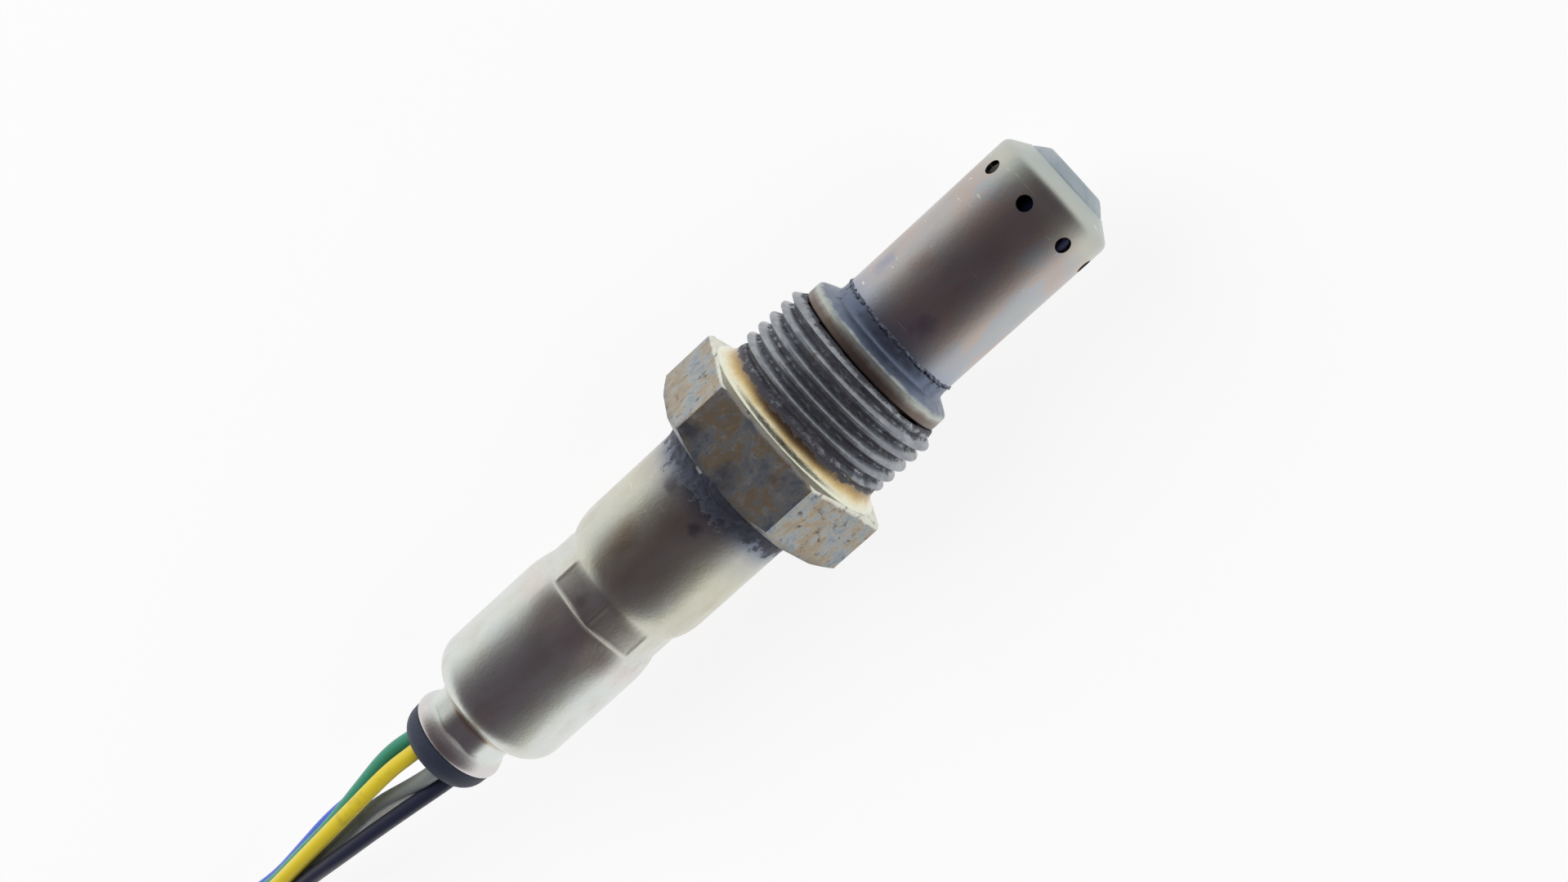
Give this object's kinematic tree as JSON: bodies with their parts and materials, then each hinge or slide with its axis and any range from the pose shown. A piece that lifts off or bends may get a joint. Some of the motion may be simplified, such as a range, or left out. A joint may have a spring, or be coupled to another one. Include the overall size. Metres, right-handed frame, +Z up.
{
  "type": "nitrogen oxide sensor",
  "caption": "Exhaust gas sensor probe: perforated steel tube, captive hexagon screw with an M20 thread, crimped sleeve, rubber grommet and coloured leads to a connector.",
  "frame": {"origin": "on the probe's axis, at the middle of the fixing screw's thread", "axes": "+X along the axis towards the perforated tip, +Z up, square to the hexagon's upper flat"},
  "size_m": [0.2141, 0.0298, 0.022],
  "materials": {
    "screw_steel": "heat-stained steel",
    "housing_steel": "heat-tinted steel",
    "tube_steel": "heat-tinted steel",
    "inner_tube_steel": "satin steel",
    "sleeve_steel": "drawn satin steel",
    "plain_steel": "satin steel",
    "zirconia": "sintered ceramic",
    "alumina": "sintered ceramic",
    "talc": "pressed powder",
    "contact_metal": "stamped sheet",
    "black_rubber": "moulded rubber",
    "tie_nylon": "moulded nylon",
    "connector_plastic": "moulded plastic",
    "wedge_plastic": "moulded plastic",
    "seal_silicone": "moulded silicone",
    "wire_green": "extruded insulation",
    "wire_yellow": "extruded insulation",
    "wire_grey": "extruded insulation",
    "wire_black": "extruded insulation",
    "wire_white": "extruded insulation",
    "wire_blue": "extruded insulation"
  },
  "bodies": {
    "probe": {"sensor_housing": "housing_steel", "outer_protection_tube": "tube_steel", "inner_protection_tube": "inner_tube_steel", "sensing_element": "zirconia", "front_ceramic_holder": "alumina", "talc_seal": "talc", "rear_ceramic_holder": "alumina", "retaining_ring": "plain_steel", "protective_sleeve": "sleeve_steel", "contact_holder_upper": "alumina", "contact_holder_lower": "alumina", "contact_clip": "plain_steel", "wire_grommet": "black_rubber", "wire_hank": "wire_black", "hank_tie_front": "tie_nylon", "hank_tie_rear": "tie_nylon", "connector_housing": "connector_plastic", "connector_seal": "seal_silicone", "connector_wedge": "wedge_plastic", "connector_ring_seal": "seal_silicone", "contact_green": "contact_metal", "terminal_green": "contact_metal", "wire_green": "wire_green", "contact_yellow": "contact_metal", "terminal_yellow": "contact_metal", "wire_yellow": "wire_yellow", "contact_grey": "contact_metal", "terminal_grey": "contact_metal", "wire_grey": "wire_grey", "contact_black": "contact_metal", "terminal_black": "contact_metal", "wire_black": "wire_black", "contact_white": "contact_metal", "terminal_white": "contact_metal", "wire_white": "wire_white", "contact_blue": "contact_metal", "terminal_blue": "contact_metal", "wire_blue": "wire_blue"},
    "screw": {"fixing_screw": "screw_steel"}
  },
  "joints": [
    {"name": "screw_spin", "type": "hinge", "parent": "probe", "child": "screw", "pos_m": [0, 0, 0], "axis": [1, 0, 0], "continuous": true}
  ]
}
